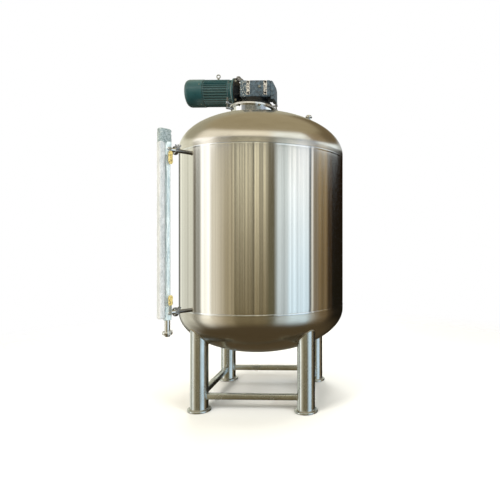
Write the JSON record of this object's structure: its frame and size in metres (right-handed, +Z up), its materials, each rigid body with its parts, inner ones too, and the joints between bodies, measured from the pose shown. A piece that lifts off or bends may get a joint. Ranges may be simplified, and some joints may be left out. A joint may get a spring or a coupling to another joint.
{
  "type": "jacketed mixing tank",
  "caption": "Upright stainless mixing tank with dished ends on tube legs, a geared motor on its neck and a wrapped level gauge at its side.",
  "frame": {"origin": "middle of the object's footprint, on the floor; the tank's own axis stands 41.2 mm behind it", "axes": "+Z up, -Y towards the side that the picture shows, +X to the picture's right"},
  "size_m": [1.6, 1.6824, 3.203],
  "materials": {
    "polished_stainless": "mirror polished shell with a fine vertical streak, satin heads",
    "brushed_stainless": "satin",
    "zinc_plated_steel": "dull plated",
    "black_paint": "semi-gloss",
    "blue_grey_paint": "semi-gloss over cast iron",
    "dark_green_paint": "gloss",
    "packing_film": "crumpled clear film over white foam",
    "yellow_sleeve": "dipped soft plastic"
  },
  "bodies": {
    "tank": {"shell": "polished_stainless", "top_head": "polished_stainless", "bottom_head": "polished_stainless", "neck": "polished_stainless", "neck_flange": "polished_stainless", "cover_plate": "polished_stainless", "swing_bolt_left": "zinc_plated_steel", "swing_bolt_right": "zinc_plated_steel", "gearbox_flange": "black_paint", "gearbox_housing": "blue_grey_paint", "gearbox_end_cover": "blue_grey_paint", "motor_adapter": "black_paint", "motor_flange": "dark_green_paint", "motor_body": "dark_green_paint", "fan_cowl": "dark_green_paint", "terminal_box": "dark_green_paint", "lifting_eye": "zinc_plated_steel", "dome_nozzle": "polished_stainless", "dome_nozzle_cap": "polished_stainless", "bottom_outlet": "polished_stainless", "gauge_nozzle_upper": "polished_stainless", "gauge_nozzle_lower": "polished_stainless", "gauge_clamp_upper": "polished_stainless", "gauge_clamp_lower": "polished_stainless", "gauge_cock_upper": "polished_stainless", "gauge_cock_lower": "polished_stainless", "gauge_tube": "packing_film", "gauge_top_cap": "packing_film", "gauge_indicator": "packing_film", "gauge_drain_tube": "polished_stainless", "gauge_drain_clamp": "polished_stainless", "gauge_drain_cap": "polished_stainless", "leg_front_left": "brushed_stainless", "leg_front_right": "brushed_stainless", "leg_back_left": "brushed_stainless", "leg_back_right": "brushed_stainless", "foot_front_left": "brushed_stainless", "foot_front_right": "brushed_stainless", "foot_back_left": "brushed_stainless", "foot_back_right": "brushed_stainless", "brace_front": "brushed_stainless", "brace_back": "brushed_stainless", "brace_left": "brushed_stainless", "brace_right": "brushed_stainless"},
    "upper_lever": {"gauge_lever_upper": "yellow_sleeve"},
    "lower_lever": {"gauge_lever_lower": "yellow_sleeve"}
  },
  "joints": [
    {"name": "upper_lever_turn", "type": "hinge", "parent": "tank", "child": "upper_lever", "pos_m": [-0.60324, -0.79525, 2.29], "axis": [-0.781, 0.6246, 0], "range_deg": [0, 90]},
    {"name": "lower_lever_turn", "type": "hinge", "parent": "tank", "child": "lower_lever", "pos_m": [-0.60324, -0.79525, 0.926], "axis": [0.781, -0.6246, 0], "range_deg": [0, 90]}
  ]
}
